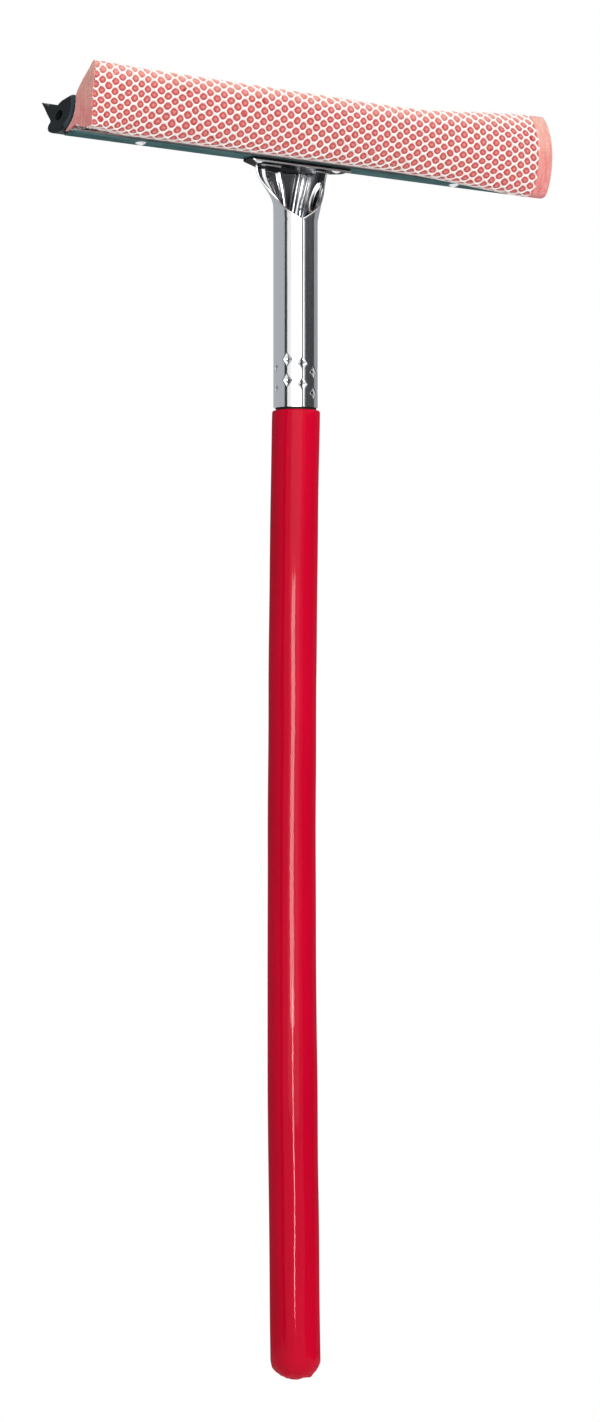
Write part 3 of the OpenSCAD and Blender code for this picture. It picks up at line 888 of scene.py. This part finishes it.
foam_bm = bmesh.new()
bmesh.ops.create_grid(foam_bm, x_segments=FOAM_ALONG, y_segments=FOAM_ROUND, size=0.5)
opening = foam_bm.verts.layers.float.new("opening")
bare_end_and_lit_top = foam_bm.verts.layers.float.new("bare_end_and_lit_top")
ends = {0: [], FOAM_ALONG: []}
for v in foam_bm.verts:
    step = round((v.co.x + 0.5) * FOAM_ALONG)
    row = round((v.co.y + 0.5) * FOAM_ROUND)
    if step in ends and row < FOAM_ROUND:
        ends[step].append((row, v))
    x = mix(SPONGE_LEFT, SPONGE_RIGHT, step / FOAM_ALONG)
    ring = ring_near(x)
    round_it = ring.reach[-1] * (row % FOAM_ROUND) / FOAM_ROUND
    inside_net = smooth_step((x - NET_LEFT) / 0.8) * smooth_step((NET_RIGHT - x) / 1.2)
    share = cell_share(x, round_it - level_at(x)) * inside_net
    v[opening] = share
    bare_lift = (1 - inside_net) * 0.35
    v.co = on_skin(x, round_it, -FOAM_DEPTH + FOAM_BULGE * smooth_step(share * 1.6) + bare_lift)
    # The foam near the skin's top also takes the paler bare tone: painted light on the top.
    near_crest = smooth_step((v.co.z - ring.crest + 9) / 9)
    v[bare_end_and_lit_top] = max(1 - inside_net, 0.75 * near_crest)
for end in ends.values():
    foam_bm.faces.new([v for row, v in sorted(end, key=lambda pair: pair[0])])
bmesh.ops.remove_doubles(foam_bm, verts=foam_bm.verts, dist=0.001)
bmesh.ops.recalc_face_normals(foam_bm, faces=foam_bm.faces)
print("open edges of the foam:", sum(len(e.link_faces) != 2 for e in foam_bm.edges))
onto_head(foam_bm)
foam = piece_from(foam_bm, "foam_body", pink_foam, ["sponge"], sharp=60)

# %% [markdown]
# ## The net
# One opening is made flat: a hexagon is inset twice, its middle is taken out, and
# its rings become the slope of a half-round strand. It is copied over the lattice,
# the copies are merged where they meet, and the whole sheet is wrapped round the
# skin. Beyond its two cut ends the strands are trimmed to a ragged edge.

# %% Net material
white_nylon = finish("white_nylon", (0.9, 0.87, 0.84), 0.5, Specular_IOR_Level=0.4,
                     Subsurface_Weight=0.15, Subsurface_Scale=0.002)
thread_tone = add_noise(white_nylon, 6, detail=3)
plug_in(white_nylon, add_ramp(white_nylon, thread_tone, [
    (0.3, (0.93, 0.80, 0.76)), (0.7, (0.96, 0.88, 0.85))]), "Base Color")
add_bump(white_nylon, add_noise(white_nylon, 0.35), 0.08, 0.6)
print("net ready")

# %% One opening
def net_opening():
    """A flat hexagonal tile with a round hole, raised along its border."""
    bm = bmesh.new()
    ring = bmesh.ops.create_circle(bm, cap_ends=True, segments=12, radius=1)["verts"]
    point = COLUMN - HALF_FLAT
    corners = [(point, 0), (HALF_FLAT, ROW / 2), (-HALF_FLAT, ROW / 2),
               (-point, 0), (-HALF_FLAT, -ROW / 2), (HALF_FLAT, -ROW / 2)]
    ring = sorted(ring, key=lambda v: math.atan2(v.co.y, v.co.x) % math.tau)
    for i, v in enumerate(ring):
        a, c = Vector(corners[i // 2]), Vector(corners[(i // 2 + 1) % 6])
        v.co = (*(a if i % 2 == 0 else (a + c) / 2), NET_RISE)
    middle = bm.faces[:]
    bmesh.ops.inset_region(bm, faces=middle, thickness=0.27, use_boundary=True, use_even_offset=True)
    inner = [f for f in bm.faces if len(f.verts) == 12]
    for f in inner:
        for v in f.verts:
            v.co.z = NET_RISE * 0.72
            oval = 1 / math.hypot(v.co.x / (HOLE_WIDE + 0.2), v.co.y / (HOLE_TALL + 0.2))
            v.co.x, v.co.y = Vector((v.co.x, v.co.y)) * mix(1, oval, 0.4)
    bmesh.ops.inset_region(bm, faces=inner, thickness=0.17, use_boundary=True, use_even_offset=True)
    inner = [f for f in bm.faces if len(f.verts) == 12]
    for f in inner:
        for v in f.verts:
            v.co.z = 0.0
            oval = 1 / math.hypot(v.co.x / HOLE_WIDE, v.co.y / HOLE_TALL)
            v.co.x, v.co.y = Vector((v.co.x, v.co.y)) * mix(1, oval, 0.7)
    bmesh.ops.delete(bm, geom=inner, context="FACES_ONLY")
    return bm


tile_bm = net_opening()
print(f"one opening: {len(tile_bm.faces)} faces")

# %% Net sheet
NET_ROWS = int(max(girths) / ROW) + 2
columns = range(math.floor(NET_LEFT / COLUMN) - 3, math.ceil(NET_RIGHT / COLUMN) + 2)
tile_mesh = bpy.data.meshes.new("opening")
tile_bm.to_mesh(tile_mesh)
tile_bm.free()

net_bm = bmesh.new()
for column in columns:
    for row in range(-NET_ROWS // 2, NET_ROWS):
        before = len(net_bm.verts)
        net_bm.from_mesh(tile_mesh)
        net_bm.verts.ensure_lookup_table()
        offset = ROW / 2 if column % 2 else 0
        bmesh.ops.translate(net_bm, vec=(column * COLUMN, row * ROW + offset, 0), verts=net_bm.verts[before:])
bpy.data.meshes.remove(tile_mesh)
bmesh.ops.remove_doubles(net_bm, verts=net_bm.verts, dist=0.05)
print(f"net sheet: {len(columns)} columns, {len(net_bm.faces)} faces")

# %% Wrap the net
SKIN_GAP = 0.45
doomed = []
for v in net_bm.verts:
    x, t, rise = squeeze(v.co.x), v.co.y, v.co.z
    t *= row_scale(x)
    dx, ds = wander(x, t)
    x += dx
    s = t + ds + level_at(x)
    ragged = 0.9 * noise.noise(Vector((s * 0.55, 1.7, 0)))
    beyond_end = x < NET_LEFT - 0.3 + 0.5 * ragged or x > NET_RIGHT + ragged
    if beyond_end or not 0.5 < s < ring_near(x).reach[-1] - 0.5:
        doomed.append(v)
    else:
        v.co = on_skin(max(x, NET_LEFT + 0.02), s, rise - SKIN_GAP)
bmesh.ops.delete(net_bm, geom=doomed, context="VERTS")
bmesh.ops.recalc_face_normals(net_bm, faces=net_bm.faces)
onto_head(net_bm)
net = piece_from(net_bm, "nylon_net", white_nylon, ["net_sleeve"], sharp=80)

# %% [markdown]
# ## Rivets and the clamp strip
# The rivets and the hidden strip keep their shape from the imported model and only
# get a finish. Their heads show as small bright domes under the dull steel.

# %% Small steel parts
small_parts = {"bracket_rivets": bright_steel, "channel_rivets": bright_steel, "clamp_strip": galvanised}
for node_name, material in small_parts.items():
    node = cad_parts[node_name]
    node.data.materials.clear()
    node.data.materials.append(material)
    for polygon in node.data.polygons:
        polygon.material_index = 0
print("small parts finished")

# %% [markdown]
# ## Light and floor
# Product light: two soft strips near the camera draw the narrow highlight down the
# handle. A large soft box stands in front, one hangs above, one fills each side and
# one lights the back. The floor and the world are white to the camera and to
# reflections, while the light that they give stays plain.

# %% Studio
def soft_box(name, angle, elevation, away, size, power):
    """An area light that looks at the middle of the tool; the angle is from the camera."""
    light = bpy.data.lights.new(name, "AREA")
    light.shape = "RECTANGLE"
    light.size, light.size_y = size
    light.energy = power
    holder = bpy.data.objects.new(name, light)
    bpy.context.scene.collection.objects.link(holder)
    turn = math.radians(angle) + math.atan2(-looking.x, -looking.y)
    level = math.cos(math.radians(elevation)) * away
    middle = Vector((0, 0, 0.33))
    holder.location = middle + Vector((math.sin(turn) * level, math.cos(turn) * level,
                                       math.sin(math.radians(elevation)) * away))
    holder.rotation_euler = (middle - holder.location).to_track_quat("-Z", "Y").to_euler()
    return holder


def unseen_by(holder, diffuse=False, glossy=False):
    """Takes a light out of the rays that must not see it."""
    holder.visible_diffuse = not diffuse
    holder.visible_glossy = not glossy


soft_box("front_box", -7, 10, 1.7, (1.6, 1.5), 16)
soft_box("top_box", 0, 66, 1.6, (1.5, 1.0), 12)
unseen_by(soft_box("right_box", -62, 14, 1.7, (0.8, 1.4), 9), glossy=True)
unseen_by(soft_box("left_box", 66, 10, 1.6, (0.9, 1.4), 0.4), glossy=True)
unseen_by(soft_box("back_box", 180, 16, 1.8, (1.6, 1.4), 11), glossy=True)
unseen_by(soft_box("wide_strip", -1, -4, 1.9, (0.6, 0.46), 25), diffuse=True)
unseen_by(soft_box("thin_strip", -3, -18, 1.9, (0.12, 0.6), 12), diffuse=True)


def looked_at(nodes, links):
    """1 for the rays of the camera, of a reflection and of a view through something clear."""
    ray = nodes.new("ShaderNodeLightPath")
    total = ray.outputs["Is Camera Ray"]
    for kind in ("Is Glossy Ray", "Is Transmission Ray"):
        either = nodes.new("ShaderNodeMath")
        either.operation = "MAXIMUM"
        links.new(total, either.inputs[0])
        links.new(ray.outputs[kind], either.inputs[1])
        total = either.outputs["Value"]
    return total


world = bpy.data.worlds.new("studio")
bpy.context.scene.world = world
world.use_nodes = True
world_nodes, world_links = world.node_tree.nodes, world.node_tree.links
background = world_nodes["Background"]
background.inputs["Color"].default_value = (0.22, 0.22, 0.225, 1)
background.inputs["Strength"].default_value = 1.0
white_room = world_nodes.new("ShaderNodeBackground")
white_room.inputs["Color"].default_value = (1, 1, 1, 1)
white_room.inputs["Strength"].default_value = 1.0
choose = world_nodes.new("ShaderNodeMixShader")
world_links.new(looked_at(world_nodes, world_links), choose.inputs["Fac"])
world_links.new(background.outputs["Background"], choose.inputs[1])
world_links.new(white_room.outputs["Background"], choose.inputs[2])
world_links.new(choose.outputs["Shader"], world_nodes["World Output"].inputs["Surface"])
bpy.context.scene.view_settings.view_transform = "Standard"
print("lights ready")

# %% [markdown]
# ## Cards
# Bright steel shows whatever stands round it. Four curved cards give it the plain
# tones of a studio: a grey one on the left, a narrow dark one beside it, a broad
# dark one on the right and a grey one behind that. Only reflections see them, so the
# light stays as it is.

# %% Reflection cards
CARD_AWAY = 1.5


def curved_card(name, start, stop, low, high, tone):
    """An upright card round the tool, between two angles from the camera."""
    bm = bmesh.new()
    first = math.radians(start) + math.atan2(-looking.x, -looking.y)
    foot = Vector((math.sin(first), math.cos(first), 0)) * CARD_AWAY
    edge = [bm.verts.new((foot.x, foot.y, z)) for z in (low, high)]
    bmesh.ops.spin(bm, geom=edge + [bm.edges.new(edge)], axis=(0, 0, 1), cent=(0, 0, 0), dvec=(0, 0, 0),
                   angle=-math.radians(stop - start), steps=24)
    card = object_from(bm, name)
    card.data.materials.append(finish(name, (0, 0, 0), 1.0, Specular_IOR_Level=0.0, Emission_Strength=1,
                                      Emission_Color=(tone, tone * 1.03, tone * 1.09, 1)))
    card.visible_camera = card.visible_diffuse = card.visible_shadow = card.visible_transmission = False
    card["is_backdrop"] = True
    return card


curved_card("grey_card", 58, 175, -0.4, 1.3, 0.48)
curved_card("narrow_card", 43, 58, -0.4, 1.3, 0.02)
curved_card("dark_card", -113, -49, -0.4, 0.85, 0.062)
curved_card("edge_card", -175, -113, -0.4, 1.3, 0.36)
print("cards ready")

# %% Floor
FLOOR_Z = -0.32
floor_bm = bmesh.new()
bmesh.ops.create_grid(floor_bm, x_segments=1, y_segments=1, size=6)
bmesh.ops.translate(floor_bm, vec=(0, 0, FLOOR_Z), verts=floor_bm.verts)
floor = object_from(floor_bm, "floor")
floor_paint = finish("floor_paint", (0.8, 0.8, 0.8), 0.9)
floor_nodes, floor_links = floor_paint.node_tree.nodes, floor_paint.node_tree.links
floor_white = floor_nodes.new("ShaderNodeEmission")
floor_mix = floor_nodes.new("ShaderNodeMixShader")
floor_links.new(looked_at(floor_nodes, floor_links), floor_mix.inputs["Fac"])
floor_links.new(floor_nodes["Principled BSDF"].outputs["BSDF"], floor_mix.inputs[1])
floor_links.new(floor_white.outputs["Emission"], floor_mix.inputs[2])
floor_links.new(floor_mix.outputs["Shader"], floor_nodes["Material Output"].inputs["Surface"])
floor.data.materials.append(floor_paint)
floor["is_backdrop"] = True
print("floor ready")

# %% [markdown]
# ## Finish
# The size of the imported model and of the finished one are printed side by side.

# %% Sizes and finish
visual_box = [list(corner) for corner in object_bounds()]
for name, box in (("packed", cad_box), ("finished", visual_box)):
    print(name, [[round(c * 1000, 1) for c in corner] for corner in box])
